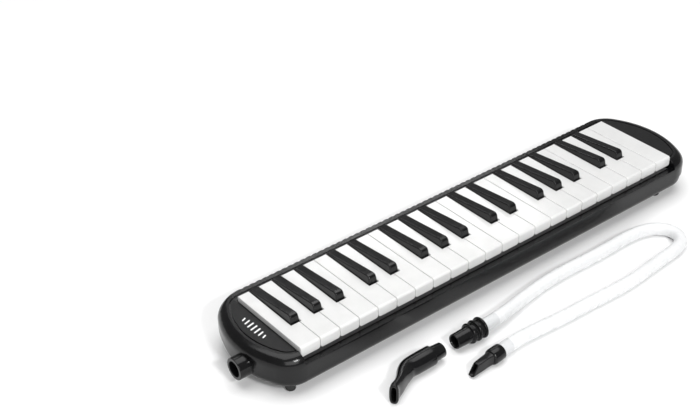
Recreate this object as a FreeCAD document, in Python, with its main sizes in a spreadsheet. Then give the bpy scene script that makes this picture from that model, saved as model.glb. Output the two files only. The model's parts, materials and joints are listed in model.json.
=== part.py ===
"""Melodica with 37 keys (F3 to F6), its short mouthpiece and its mouthpiece hose.

Frame: +X along the keyboard (low notes at -X), -Y towards the player's side of the keys,
+Z up. The origin lies on the table, under the middle of the case. Millimetres.
"""
import FreeCAD, Part
import math
import os
import Sketcher

Vector = FreeCAD.Vector
doc = FreeCAD.newDocument("Melodica")

# ---------------------------------------------------------------- driving dimensions
DIMENSIONS = [
    # keyboard
    ("white_pitch", 19.4), ("key_gap", 0.4), ("notch_width", 9.9), ("black_width", 8.7),
    ("key_front", -45.2), ("key_back", 39.3), ("black_front", -16.8), ("notch_front", -18.1),
    ("white_top", 41.5), ("white_bottom", 31.8), ("black_top", 48.8), ("black_top_back", 42.6),
    ("black_skirt", 34.0), ("black_top_width", 7.3), ("black_back_width", 8.0),
    ("black_front_slope", 1.0), ("black_front_round", 3.4), ("black_edge_round", 0.9),
    ("white_corner_round", 2.2), ("white_front_round", 2.0), ("white_edge_round", 0.7),
    ("key_wall", 1.5), ("key_roof", 2.2), ("hollow_back", 2.0),
    ("arm_bottom", 28.0), ("arm_top", 30.5), ("tail_back", 47.5),
    ("pad_front", 28.5), ("pad_back", 38.5),
    ("pivot_depth", 12.0), ("pivot_height", 33.0), ("axle_radius", 1.25), ("axle_play", 0.1),
    ("axle_half_length", 219.0),
    # case
    ("half_length", 244.0), ("right_extra", 4.0), ("half_depth", 51.8), ("end_radius", 80.0),
    ("corner_radius", 24.0),
    ("foot_height", 7.0), ("bottom_round", 7.0), ("bottom_inset", 1.4), ("seam_inset", 2.4),
    ("seam_height", 18.5), ("seam_gap", 0.9), ("shoulder_height", 27.1), ("ledge_height", 29.3),
    ("deck_height", 37.6), ("wall", 2.5), ("floor_thickness", 2.2),
    ("well_half_length", 214.0), ("well_front", -46.0), ("well_back", 39.9),
    ("groove_width", 1.3), ("groove_depth", 0.8), ("groove_inset", 9.8), ("groove_back", 45.6),
    ("groove_back_corner", 17.0), ("deck_room_side", 8.0), ("deck_room_back", 3.0),
    ("tray_wall", 5.0),
    ("vent_pitch", 6.5), ("vent_width", 3.4), ("vent_bottom", 33.4), ("vent_front", 49.8),
    ("vent_run", 403.0),
    ("foot_radius", 4.3), ("foot_round", 1.8), ("foot_depth", 38.5),
    ("left_foot", -220.0), ("right_foot", 205.0),
    ("screw_post_length", 229.0), ("screw_post_depth", 23.0), ("screw_post_radius", 4.0),
    ("case_screw_radius", 1.5), ("case_screw_head", 3.0), ("case_screw_tip", 23.0),
    ("case_head_depth", 1.4), ("case_head_thickness", 1.2), ("screw_play", 0.3), ("fit", 0.02),
    # blow inlet
    ("inlet_mouth", -252.5), ("inlet_depth", -9.5), ("inlet_radius", 9.6), ("inlet_bore", 6.9),
    ("inlet_floor", -237.5), ("inlet_end", -235.5), ("inlet_round", 0.6),
    ("spigot_height", 16.2), ("spigot_radius", 4.5), ("spigot_bore", 3.2), ("spigot_end", -217.5),
    ("seal_thickness", 1.2), ("seal_width", 1.6),
    # air chamber
    ("chamber_half_length", 219.0), ("chamber_front", -18.0), ("chamber_back", 45.0),
    ("chamber_wall", 3.6), ("chamber_floor", 2.0), ("chamber_top", 22.3),
    ("gasket_thickness", 0.5),
    ("plate_top", 24.0), ("valve_length", 6.5), ("valve_width", 4.5), ("valve_depth", 33.5),
    ("reed_plate_front", 4.0), ("reed_plate_back", 41.0), ("reed_plate_thickness", 1.2),
    ("reed_plate_half_length", 214.0), ("reed_thickness", 0.3), ("reed_width", 2.2),
    ("reed_root", 39.5), ("longest_reed", 31.0), ("shortest_reed", 13.0),
    ("rivet_radius", 0.7), ("rivet_head_radius", 1.4), ("rivet_head", 0.6),
    ("chamber_screw_radius", 1.2), ("chamber_screw_head", 2.3), ("chamber_screw_end", 13.0),
    ("chamber_head_thickness", 1.5), ("cross_depth", 0.8), ("reed_play", 0.1),
    ("bracket_width", 2.4), ("bracket_length", 8.0), ("bracket_top", 34.9),
    ("relief_width", 1.7), ("relief_front", 6.5), ("relief_back", 17.5), ("relief_top", 36.0),
    ("rib_front", -44.6), ("rib_back", -38.8), ("rib_top", 25.8), ("felt_thickness", 1.5),
    ("spring_width", 4.0), ("spring_thickness", 0.4), ("spring_foot", 41.8),
    ("spring_strip_front", 45.4), ("spring_strip_back", 47.6),
    # drain valve
    ("drain_along", 205.0), ("drain_depth", -8.0), ("drain_knob_radius", 5.0),
    ("drain_knob_bottom", 4.0), ("drain_stem_radius", 1.8), ("drain_disc_radius", 5.5),
    ("drain_disc_top", 12.8), ("drain_hole", 3.4), ("drain_spring_radius", 3.4),
    ("drain_wire_radius", 0.3), ("drain_spring_pitch", 1.8), ("drain_spring_height", 9.0),
    # short mouthpiece
    ("spout_body_radius", 8.4), ("spout_stub_length", 11.0), ("spout_bore", 4.7),
    ("spout_wall", 1.6), ("spout_start", -105.0),
    # hose and its ends
    ("hose_radius", 5.75), ("rib_radius", 9.3), ("core_radius", 6.9), ("plug_tip_radius", 6.35),
    ("plug_bore", 4.4), ("first_rib", 15.4), ("rib_pitch", 6.15), ("rib_width", 2.4),
    ("hose_nipple", 2.6), ("collar_radius", 6.75), ("collar_length", 12.0), ("collar_round", 0.8),
    ("bill_bore", 3.2), ("bill_wall", 1.2), ("bill_length", 23.0), ("plug_floor", 22.0),
]

sheet = doc.addObject("Spreadsheet::Sheet", "Dims")
for row, (alias, size) in enumerate(DIMENSIONS, start=1):
    sheet.set(f"A{row}", alias)
    sheet.set(f"B{row}", str(size))
    sheet.setAlias(f"B{row}", alias)
doc.recompute()


def number(expression):
    """Value of an expression on the sheet, in millimetres."""
    return float(sheet.evalExpression(str(expression)))


# Lengths of cutting shapes: THROUGH is longer than any part is deep, DEEP passes any wall, and
# CLEAR reaches past the face that is opened. Joined shapes run LAP into each other.
THROUGH = "200"
DEEP = "20"
CLEAR = "5"
LAP = "1"


# ---------------------------------------------------------------- small helpers
def own_plane(body, role):
    for feature in body.Origin.OriginFeatures:
        if feature.Role == role:
            return feature
    raise LookupError(role)


def new_body(label):
    body = doc.addObject("PartDesign::Body", label)
    body.Label = label
    return body


def new_sketch(body, name, role="XY_Plane", offset="0"):
    sketch = body.newObject("Sketcher::SketchObject", name)
    sketch.AttachmentSupport = (own_plane(body, role), [""])
    sketch.MapMode = "FlatFace"
    sketch.setExpression("AttachmentOffset.Base.z", f"({offset}) * 1 mm")
    return sketch


def dimension(sketch, kind, geometry, point, expression):
    """Distance of a point from the sketch's origin, bound to the sheet."""
    index = sketch.addConstraint(
        Sketcher.Constraint(kind, -1, 1, geometry, point, number(expression)))
    sketch.setExpression(f"Constraints[{index}]", expression)


def draw_polygon(sketch, corners):
    """Closed outline; each corner is a pair of expressions."""
    points = [Vector(number(x), number(y), 0) for x, y in corners]
    count = len(points)
    first = sketch.GeometryCount
    for i in range(count):
        sketch.addGeometry(Part.LineSegment(points[i], points[(i + 1) % count]))
    for i in range(count):
        sketch.addConstraint(
            Sketcher.Constraint("Coincident", first + i, 2, first + (i + 1) % count, 1))
    for i, (x, y) in enumerate(corners):
        dimension(sketch, "DistanceX", first + i, 1, x)
        dimension(sketch, "DistanceY", first + i, 1, y)


def draw_rectangle(sketch, left, right, front, back):
    draw_polygon(sketch, [(left, front), (right, front), (right, back), (left, back)])


def draw_outline(sketch, half_length, front, back, end_radius, front_corner, back_corner):
    """Case outline: straight front and back, bulging ends and corners, all tangent.

    The ends' arcs have their centres on the X axis. Arguments are expressions. The end at
    the high notes reaches right_extra further out than half_length.
    """
    reach, low, high = number(half_length), number(front), number(back)
    big, small_front, small_back = number(end_radius), number(front_corner), number(back_corner)
    extra = number("Dims.right_extra")
    centre = reach + extra - big

    def corner_centre(line, radius):
        inward = radius if line < 0 else -radius
        along = math.sqrt((big - radius) ** 2 - (line + inward) ** 2)
        return Vector(centre + along, line + inward, 0)

    front_centre = corner_centre(low, small_front)
    back_centre = corner_centre(high, small_back)

    def touch(corner, radius):
        away = corner - Vector(centre, 0, 0)
        return corner + away.normalize() * radius

    def bearing(point, middle):
        return math.atan2(point.y - middle.y, point.x - middle.x)

    def arc(middle, radius, start, end):
        circle = Part.Circle(middle, Vector(0, 0, 1), radius)
        return Part.ArcOfCircle(circle, bearing(start, middle), bearing(end, middle))

    def mirrored(point):
        return Vector(extra - point.x, point.y, 0)

    front_line_end = Vector(front_centre.x, low, 0)
    front_touch = touch(front_centre, small_front)
    back_touch = touch(back_centre, small_back)
    back_line_end = Vector(back_centre.x, high, 0)
    right = Vector(centre, 0, 0)
    left = mirrored(right)
    sketch.addGeometry(Part.LineSegment(mirrored(front_line_end), front_line_end))
    sketch.addGeometry(arc(front_centre, small_front, front_line_end, front_touch))
    sketch.addGeometry(arc(right, big, front_touch, back_touch))
    sketch.addGeometry(arc(back_centre, small_back, back_touch, back_line_end))
    sketch.addGeometry(Part.LineSegment(back_line_end, mirrored(back_line_end)))
    sketch.addGeometry(arc(mirrored(back_centre), small_back, mirrored(back_line_end),
                           mirrored(back_touch)))
    sketch.addGeometry(arc(left, big, mirrored(back_touch), mirrored(front_touch)))
    sketch.addGeometry(arc(mirrored(front_centre), small_front, mirrored(front_touch),
                           mirrored(front_line_end)))
    first = sketch.GeometryCount - 8
    for i in range(8):
        sketch.addConstraint(
            Sketcher.Constraint("Tangent", first + i, 2, first + (i + 1) % 8, 1))
    sketch.addConstraint(Sketcher.Constraint("Horizontal", first))
    sketch.addConstraint(Sketcher.Constraint("Horizontal", first + 4))
    dimension(sketch, "DistanceY", first, 1, front)
    dimension(sketch, "DistanceY", first + 4, 1, back)
    from_middle = f"({half_length}) - ({end_radius})"
    for arc_index, place in ((first + 2, f"{from_middle} + Dims.right_extra"),
                             (first + 6, f"-({from_middle})")):
        dimension(sketch, "DistanceX", arc_index, 3, place)
        dimension(sketch, "DistanceY", arc_index, 3, "0")
    radii = ((1, front_corner), (3, back_corner), (5, back_corner), (7, front_corner),
             (2, end_radius), (6, end_radius))
    for arc_index, radius in radii:
        index = sketch.addConstraint(
            Sketcher.Constraint("Radius", first + arc_index, number(radius)))
        sketch.setExpression(f"Constraints[{index}]", radius)


def draw_inset_outline(sketch, inset):
    """The case outline moved inwards by an expression."""
    draw_outline(sketch, f"Dims.half_length - ({inset})",
                 f"-Dims.half_depth + ({inset})", f"Dims.half_depth - ({inset})",
                 f"Dims.end_radius - ({inset})", f"Dims.corner_radius - ({inset})",
                 f"Dims.corner_radius - ({inset})")


def draw_deck_outline(sketch, side, back):
    """Outline of the rounded top shell, inset by `side` at ends and front, `back` behind."""
    draw_outline(sketch, f"Dims.half_length - ({side})",
                 f"-Dims.half_depth + ({side})", f"Dims.half_depth - ({back})",
                 f"Dims.end_radius - ({side})", f"Dims.corner_radius - ({side})",
                 f"Dims.corner_radius - ({back})")


def pad(body, name, sketch, length, symmetric=False):
    feature = body.newObject("PartDesign::Pad", name)
    feature.Profile = sketch
    feature.setExpression("Length", f"({length}) * 1 mm")
    if symmetric:
        feature.SideType = "Symmetric"
    sketch.Visibility = False
    return feature


def pocket(body, name, sketch, length, symmetric=False, upward=False):
    feature = body.newObject("PartDesign::Pocket", name)
    feature.Profile = sketch
    feature.setExpression("Length", f"({length}) * 1 mm")
    if symmetric:
        feature.SideType = "Symmetric"
    feature.Reversed = upward
    sketch.Visibility = False
    return feature


def through(body, name, sketch):
    return pocket(body, name, sketch, THROUGH, symmetric=True)


def edges_where(feature, test):
    """Names of the feature's edges whose bounding box passes the test."""
    return [f"Edge{i}" for i, edge in enumerate(feature.Shape.Edges, start=1)
            if test(edge.BoundBox)]


def round_edges(body, name, base, test, radius):
    doc.recompute()
    names = edges_where(base, test)
    feature = body.newObject("PartDesign::Fillet", name)
    feature.Base = (base, names)
    feature.setExpression("Radius", f"({radius}) * 1 mm")
    return feature


def near(a, b):
    return abs(a - b) < 0.01


def cylinder(name, radius, length, base, axis="z"):
    """Part::Cylinder along +X, +Y or +Z from a base given as three expressions."""
    solid = doc.addObject("Part::Cylinder", name)
    solid.setExpression("Radius", f"({radius}) * 1 mm")
    solid.setExpression("Height", f"({length}) * 1 mm")
    turns = {"x": FreeCAD.Rotation(Vector(0, 1, 0), 90),
             "y": FreeCAD.Rotation(Vector(1, 0, 0), -90),
             "z": FreeCAD.Rotation()}
    solid.Placement = FreeCAD.Placement(Vector(), turns[axis])
    for letter, expression in zip("xyz", base):
        solid.setExpression(f"Placement.Base.{letter}", f"({expression}) * 1 mm")
    return solid


def box(name, left, right, front, back, bottom, top):
    solid = doc.addObject("Part::Box", name)
    for size, low, high in (("Length", left, right), ("Width", front, back),
                            ("Height", bottom, top)):
        solid.setExpression(size, f"(({high}) - ({low})) * 1 mm")
    for letter, expression in zip("xyz", (left, front, bottom)):
        solid.setExpression(f"Placement.Base.{letter}", f"({expression}) * 1 mm")
    return solid


def fuse(name, solids):
    joined = doc.addObject("Part::MultiFuse", name)
    joined.Shapes = solids
    return joined


def cut(name, base, tool):
    result = doc.addObject("Part::Cut", name)
    result.Base = base
    result.Tool = tool
    return result


finished = []


def finish(part):
    """Keeps a finished sub-part for checking and export; its label names its file."""
    finished.append(part)
    return part


# ---------------------------------------------------------------- the keyboard's layout
WHITE_COUNT = 22
KEYBOARD_HALF = f"{WHITE_COUNT / 2} * Dims.white_pitch"
LETTERS = "FGABCDE"
# A black key's centre, as a shift in white pitches from the boundary it stands over.
BLACK_SHIFT = {1: -0.17, 2: 0.0, 3: 0.17, 5: -0.08, 6: 0.08}


def octave(index):
    """Octave number of white key `index`; the first is F3 and the number grows at each C."""
    return 3 + (index + 3) // 7


def black_shift(boundary):
    """Shift of the black key over a boundary between white keys, or None."""
    if boundary <= 0 or boundary >= WHITE_COUNT:
        return None
    return BLACK_SHIFT.get(boundary % 7)


def white_centre(index):
    return f"({index + 0.5} - {WHITE_COUNT / 2}) * Dims.white_pitch"


def black_centre(boundary):
    return f"({boundary + black_shift(boundary)} - {WHITE_COUNT / 2}) * Dims.white_pitch"


def neck_edges(index):
    """Left and right edge of a white key between the black keys, from its centre."""
    edges = []
    for boundary, side in ((index, -1), (index + 1, 1)):
        shift = black_shift(boundary)
        if shift is None:
            edges.append(f"{side} * (Dims.white_pitch - Dims.key_gap) / 2")
        else:
            edges.append(f"{side * 0.5 + shift} * Dims.white_pitch - {side} * Dims.notch_width / 2")
    return edges


def valve_centres():
    """X of the middle of every key's pad, from the lowest key to the highest."""
    centres = []
    for index in range(WHITE_COUNT):
        left, right = neck_edges(index)
        centres.append(f"{white_centre(index)} + (({left}) + ({right})) / 2")
        if black_shift(index + 1) is not None:
            centres.append(black_centre(index + 1))
    return centres


def arm_profile(front, top, skirt):
    """Side profile of a key: playing part, arm over the axle, valve pad and tail."""
    return [(front, skirt), (front, top),
            ("Dims.key_back", top), ("Dims.key_back", "Dims.arm_top"),
            ("Dims.tail_back", "Dims.arm_top"), ("Dims.tail_back", "Dims.arm_bottom"),
            ("Dims.pad_back", "Dims.arm_bottom"), ("Dims.pad_back", "Dims.plate_top"),
            ("Dims.pad_front", "Dims.plate_top"), ("Dims.pad_front", "Dims.arm_bottom"),
            ("0", "Dims.arm_bottom"), ("0", skirt)]


def drill_axle_hole(body):
    hole = new_sketch(body, body.Label + "_axle_sketch", "YZ_Plane")
    circle = Part.Circle(Vector(number("Dims.pivot_depth"), number("Dims.pivot_height"), 0),
                         Vector(0, 0, 1), number("Dims.axle_radius + Dims.axle_play"))
    hole.addGeometry(circle)
    dimension(hole, "DistanceX", 0, 3, "Dims.pivot_depth")
    dimension(hole, "DistanceY", 0, 3, "Dims.pivot_height")
    index = hole.addConstraint(Sketcher.Constraint("Radius", 0, circle.Radius))
    hole.setExpression(f"Constraints[{index}]", "Dims.axle_radius + Dims.axle_play")
    return through(body, body.Label + "_axle_hole", hole)


def white_key(index):
    name = f"key_{LETTERS[index % 7]}{octave(index)}"
    body = new_body(name)
    body.setExpression("Placement.Base.x", f"({white_centre(index)}) * 1 mm")
    profile = new_sketch(body, name + "_profile", "YZ_Plane")
    draw_polygon(profile, arm_profile("Dims.key_front", "Dims.white_top", "Dims.white_bottom"))
    solid = pad(body, name + "_pad", profile, "Dims.white_pitch - Dims.key_gap", symmetric=True)
    left, right = neck_edges(index)
    half = "(Dims.white_pitch - Dims.key_gap) / 2"
    for boundary, side, edge in ((index, -1, left), (index + 1, 1, right)):
        if black_shift(boundary) is not None:
            notch = new_sketch(body, f"{name}_notch_{boundary}")
            low, high = (edge, THROUGH) if side > 0 else (f"-{THROUGH}", edge)
            draw_rectangle(notch, low, high, "Dims.notch_front", THROUGH)
            solid = through(body, f"{name}_notch_cut_{boundary}", notch)
        elif 0 < boundary < WHITE_COUNT:
            relief = new_sketch(body, f"{name}_relief_{boundary}", "XY_Plane", "Dims.relief_top")
            inner = f"{side} * ({half} - Dims.relief_width)"
            low, high = (inner, THROUGH) if side > 0 else (f"-{THROUGH}", inner)
            draw_rectangle(relief, low, high, "Dims.relief_front", "Dims.relief_back")
            solid = pocket(body, f"{name}_relief_cut_{boundary}", relief, DEEP)
    solid = drill_axle_hole(body)
    front, top, low = (number(f"Dims.{alias}") for alias in ("key_front", "white_top", "white_bottom"))
    front_round = number("Dims.white_front_round")
    solid = round_edges(body, name + "_bottom_corners", solid,
                        lambda b: near(b.ZMin, low) and near(b.ZMax, low)
                        and b.XLength < 0.01 and near(b.YMin, front), "Dims.white_corner_round")
    solid = round_edges(body, name + "_top_front", solid,
                        lambda b: near(b.ZMin, top) and near(b.ZMax, top)
                        and near(b.YMax, front), "Dims.white_front_round")
    # The front's own edges, the short edges beside it, and the edges of the top.
    solid = round_edges(body, name + "_outer_edges", solid,
                        lambda b: near(b.YMin, front) and near(b.YMax, front)
                        or near(b.YMin, front) and b.XLength < 0.01
                        and b.YLength < front_round + 0.5
                        or near(b.ZMin, top) and near(b.ZMax, top)
                        and not (near(b.YMin, front + front_round) and b.YLength < 0.01),
                        "Dims.white_edge_round")
    head = new_sketch(body, name + "_head_hollow", "XY_Plane", "Dims.white_top - Dims.key_roof")
    inside = f"({half} - Dims.key_wall)"
    draw_rectangle(head, f"-{inside}", inside, "Dims.key_front + Dims.key_wall",
                   "Dims.notch_front - Dims.key_wall")
    pocket(body, name + "_head_cut", head, DEEP)
    neck = new_sketch(body, name + "_neck_hollow", "XY_Plane", "Dims.white_top - Dims.key_roof")
    draw_rectangle(neck, f"({left}) + Dims.key_wall", f"({right}) - Dims.key_wall",
                   "Dims.notch_front - 2 * Dims.key_wall", "Dims.hollow_back")
    body.Tip = pocket(body, name + "_neck_cut", neck, DEEP)
    return finish(body)


def black_key(boundary):
    name = f"key_{LETTERS[(boundary - 1) % 7]}s{octave(boundary - 1)}"
    body = new_body(name)
    body.setExpression("Placement.Base.x", f"({black_centre(boundary)}) * 1 mm")
    profile = new_sketch(body, name + "_profile", "YZ_Plane")
    draw_polygon(profile, arm_profile("Dims.black_front", "Dims.white_top", "Dims.black_skirt"))
    pad(body, name + "_pad", profile, "Dims.black_width", symmetric=True)
    # The crown is a loft from front to back, because its top falls towards the back.
    sections = []
    for place, end, height, top_width in (
            ("front", "Dims.black_front", "Dims.black_top", "Dims.black_top_width"),
            ("back", "Dims.key_back", "Dims.black_top_back", "Dims.black_back_width")):
        section = new_sketch(body, f"{name}_{place}", "XZ_Plane", f"-{end}")
        draw_polygon(section, [("-Dims.black_width / 2", "Dims.white_top"),
                               ("Dims.black_width / 2", "Dims.white_top"),
                               (f"{top_width} / 2", height), (f"-{top_width} / 2", height)])
        sections.append(section)
    loft = body.newObject("PartDesign::AdditiveLoft", name + "_loft")
    loft.Profile = sections[0]
    loft.Sections = sections[1:]
    loft.Ruled = True
    nose = new_sketch(body, name + "_nose", "YZ_Plane")
    lean = "Dims.black_front_slope"
    draw_polygon(nose, [("Dims.black_front", "Dims.white_top"),
                        (f"Dims.black_front + {lean}", f"Dims.black_top + {LAP}"),
                        (f"Dims.black_front - {lean}", f"Dims.black_top + {LAP}")])
    through(body, name + "_nose_cut", nose)
    solid = drill_axle_hole(body)
    shoulder = number("Dims.white_top + Dims.black_top_back") / 2
    front = number("Dims.black_front + Dims.black_front_slope")
    half_way = number("Dims.key_back - Dims.black_front") / 2
    solid = round_edges(body, name + "_top_front", solid,
                        lambda b: b.ZMin > shoulder and b.ZLength < 0.01 and b.YLength < 0.01
                        and b.YMax < front + 0.5, "Dims.black_front_round")
    body.Tip = round_edges(body, name + "_top_edges", solid,
                           lambda b: b.ZMin > shoulder and b.YLength > half_way,
                           "Dims.black_edge_round")
    return finish(body)


# ---------------------------------------------------------------- case
# Sections of the rounded deck: share of its rise, inset at ends and front, inset behind.
DECK_LEVELS = [(0, 0, 0), (0.52, 1.2, 0.05), (0.82, 3.8, 0.4), (1, 8.2, 1.5)]


def top_case():
    body = new_body("top_case_body")
    wall_sketch = new_sketch(body, "top_wall_outline", "XY_Plane", "Dims.seam_height")
    draw_inset_outline(wall_sketch, "0")
    pad(body, "top_wall", wall_sketch, "Dims.shoulder_height - Dims.seam_height")
    sections = []
    for i, (share, side, back) in enumerate(DECK_LEVELS):
        level = new_sketch(body, f"deck_level_{i}", "XY_Plane",
                           "Dims.shoulder_height"
                           f" + {share} * (Dims.deck_height - Dims.shoulder_height)")
        draw_deck_outline(level, side, back)
        sections.append(level)
    deck = body.newObject("PartDesign::AdditiveLoft", "deck")
    deck.Profile = sections[0]
    deck.Sections = sections[1:]
    lower_room = new_sketch(body, "lower_room", "XY_Plane", "Dims.seam_height")
    draw_inset_outline(lower_room, "Dims.wall")
    pocket(body, "lower_room_cut", lower_room, "Dims.shoulder_height - Dims.seam_height",
           upward=True)
    upper_room = new_sketch(body, "upper_room", "XY_Plane", "Dims.seam_height")
    draw_deck_outline(upper_room, "Dims.deck_room_side", "Dims.deck_room_back")
    pocket(body, "upper_room_cut", upper_room,
           "Dims.deck_height - Dims.wall - Dims.seam_height", upward=True)
    well = new_sketch(body, "key_well", "XY_Plane", "Dims.deck_height")
    draw_rectangle(well, "-Dims.well_half_length", "Dims.well_half_length",
                   "Dims.well_front", "Dims.well_back")
    pocket(body, "key_well_cut", well, DEEP)
    ledge = new_sketch(body, "front_ledge", "XY_Plane", "Dims.ledge_height")
    draw_rectangle(ledge, "-Dims.well_half_length", "Dims.well_half_length",
                   f"-Dims.half_depth - {CLEAR}", f"Dims.well_front + {LAP}")
    pocket(body, "front_ledge_cut", ledge, DEEP, upward=True)
    groove = new_sketch(body, "panel_groove", "XY_Plane", "Dims.deck_height")
    for shrink in ("0", "Dims.groove_width"):
        inset = f"Dims.groove_inset + {shrink}"
        draw_outline(groove, f"Dims.half_length - ({inset})",
                     f"-Dims.half_depth + ({inset})", f"Dims.groove_back - {shrink}",
                     f"Dims.end_radius - ({inset})", f"Dims.corner_radius - ({inset})",
                     f"Dims.groove_back_corner - {shrink}")
    pocket(body, "panel_groove_cut", groove, "Dims.groove_depth")
    vent = new_sketch(body, "first_vent", "XY_Plane", "Dims.deck_height")
    draw_rectangle(vent, "-Dims.vent_run / 2 - Dims.vent_width / 2",
                   "-Dims.vent_run / 2 + Dims.vent_width / 2", "Dims.vent_front",
                   f"Dims.half_depth + {CLEAR}")
    vent_cut = pocket(body, "first_vent_cut", vent, "Dims.deck_height - Dims.vent_bottom")
    vents = body.newObject("PartDesign::LinearPattern", "vents")
    vents.Originals = [vent_cut]
    vents.Direction = (own_plane(body, "X_Axis"), [""])
    vents.setExpression("Length", "Dims.vent_run * 1 mm")
    vents.Occurrences = round(number("Dims.vent_run / Dims.vent_pitch")) + 1
    body.Tip = vents
    posts = screw_posts("top_post", "Dims.screw_post_radius",
                        "Dims.foot_height + Dims.floor_thickness", "Dims.deck_height - Dims.wall")
    pilots = screw_posts("top_pilot", "Dims.case_screw_radius", "Dims.foot_height",
                         f"Dims.case_screw_tip + {LAP}")
    holes = fuse("top_case_holes", pilots + [inlet_hole("top_inlet_hole")])
    solid = cut("top_case", fuse("top_case_with_posts", [body] + posts), holes)
    return finish(solid)


def screw_posts(name, radius, bottom, top):
    posts = []
    for along in (-1, 1):
        for depth in (-1, 1):
            posts.append(cylinder(f"{name}_{len(posts)}", radius, f"({top}) - ({bottom})",
                                  (f"{along} * Dims.screw_post_length",
                                   f"{depth} * Dims.screw_post_depth", bottom)))
    return posts


def inlet_hole(name):
    return cylinder(name, "Dims.inlet_radius + Dims.fit",
                    f"Dims.inlet_end - Dims.inlet_mouth + {CLEAR}",
                    ("Dims.inlet_mouth", "Dims.inlet_depth", "Dims.seam_height"), "x")


def bottom_case():
    body = new_body("bottom_case_body")
    tray = new_sketch(body, "tray_outline", "XY_Plane", "Dims.foot_height")
    draw_inset_outline(tray, "Dims.bottom_inset")
    base = pad(body, "tray", tray,
               "Dims.seam_height - Dims.seam_gap - Dims.foot_height")
    bottom = number("Dims.foot_height")
    round_edges(body, "tray_rounding", base,
                lambda b: near(b.ZMin, bottom) and near(b.ZMax, bottom), "Dims.bottom_round")
    rim = new_sketch(body, "seam_outline", "XY_Plane",
                     f"Dims.seam_height - Dims.seam_gap - {LAP}")
    draw_inset_outline(rim, "Dims.seam_inset")
    pad(body, "seam_rim", rim, f"Dims.seam_gap + {LAP}")
    room = new_sketch(body, "tray_room", "XY_Plane", "Dims.foot_height + Dims.floor_thickness")
    draw_inset_outline(room, "Dims.tray_wall")
    body.Tip = pocket(body, "tray_room_cut", room, DEEP, upward=True)
    rib = box("front_rib", f"-{KEYBOARD_HALF}", KEYBOARD_HALF, "Dims.rib_front", "Dims.rib_back",
              f"Dims.foot_height + Dims.floor_thickness - {LAP}", "Dims.rib_top")
    shanks = screw_posts("bottom_shank", "Dims.case_screw_radius + Dims.screw_play",
                         f"Dims.foot_height - {LAP}", f"Dims.foot_height + {CLEAR}")
    heads = screw_posts("bottom_head", "Dims.case_screw_head + Dims.screw_play",
                        f"Dims.foot_height - {LAP}", "Dims.foot_height + Dims.case_head_depth")
    drain = cylinder("bottom_drain_hole", "Dims.drain_knob_radius + Dims.screw_play", "10",
                     ("Dims.drain_along", "Dims.drain_depth", f"Dims.foot_height - {LAP}"))
    holes = fuse("bottom_case_holes",
                 shanks + heads + [drain, inlet_hole("bottom_inlet_hole")])
    solid = cut("bottom_case", fuse("bottom_case_with_rib", [body, rib]), holes)
    return finish(solid)


def feet():
    pegs = []
    for along in ("Dims.left_foot", "Dims.right_foot"):
        for side in (-1, 1):
            name = f"peg_{len(pegs)}"
            peg = cylinder(name, "Dims.foot_radius", "Dims.foot_height",
                           (along, f"{side} * Dims.foot_depth", "0"))
            doc.recompute()
            lowest = [i for i, edge in enumerate(peg.Shape.Edges, start=1)
                      if near(edge.BoundBox.ZMax, 0)]
            rounded = doc.addObject("Part::Fillet", name + "_rounded")
            rounded.Base = peg
            size = number("Dims.foot_round")
            rounded.Edges = [(edge, size, size) for edge in lowest]
            pegs.append(rounded)
    solid = fuse("feet", pegs)
    return finish(solid)


# ---------------------------------------------------------------- blow inlet
def inlet_socket():
    axis = ("Dims.inlet_depth", "Dims.seam_height")
    tube = cylinder("inlet_tube", "Dims.inlet_radius", "Dims.inlet_end - Dims.inlet_mouth",
                    ("Dims.inlet_mouth",) + axis, "x")
    doc.recompute()
    mouth = number("Dims.inlet_mouth")
    rim = [i for i, edge in enumerate(tube.Shape.Edges, start=1)
           if near(edge.BoundBox.XMax, mouth)]
    rounded = doc.addObject("Part::Fillet", "inlet_tube_rounded")
    rounded.Base = tube
    size = number("Dims.inlet_round")
    rounded.Edges = [(edge, size, size) for edge in rim]
    spigot = cylinder("inlet_spigot", "Dims.spigot_radius",
                      f"Dims.spigot_end - Dims.inlet_end + {LAP}",
                      (f"Dims.inlet_end - {LAP}", "Dims.inlet_depth", "Dims.spigot_height"), "x")
    bore = cylinder("inlet_bore", "Dims.inlet_bore",
                    f"Dims.inlet_floor - Dims.inlet_mouth + {LAP}",
                    (f"Dims.inlet_mouth - {LAP}",) + axis, "x")
    duct = cylinder("inlet_duct", "Dims.spigot_bore", THROUGH,
                    (f"Dims.inlet_floor - {LAP}", "Dims.inlet_depth", "Dims.spigot_height"), "x")
    solid = cut("inlet_socket", fuse("inlet_outside", [rounded, spigot]),
                fuse("inlet_inside", [bore, duct]))
    return finish(solid)


def inlet_seal():
    thickness = "Dims.seal_thickness"
    base = ("-Dims.chamber_half_length - Dims.seal_thickness", "Dims.inlet_depth",
            "Dims.spigot_height")
    ring = cylinder("seal_disc", "Dims.spigot_radius + Dims.seal_width", thickness, base, "x")
    hole = cylinder("seal_hole", "Dims.spigot_radius + Dims.fit", thickness, base, "x")
    solid = cut("inlet_seal", ring, hole)
    return finish(solid)


# ---------------------------------------------------------------- air chamber
CHAMBER_SCREW_COLUMNS = (-214, -128, -43, 43, 128, 214)


def chamber_screw_cylinders(name, radius, bottom, top):
    shanks = []
    for along in CHAMBER_SCREW_COLUMNS:
        for row_expression in ("Dims.chamber_front + Dims.chamber_wall / 2",
                               "Dims.chamber_back - Dims.chamber_wall / 2"):
            shanks.append(cylinder(f"{name}_{len(shanks)}", radius, f"({top}) - ({bottom})",
                                   (str(along), row_expression, bottom)))
    return shanks


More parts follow.
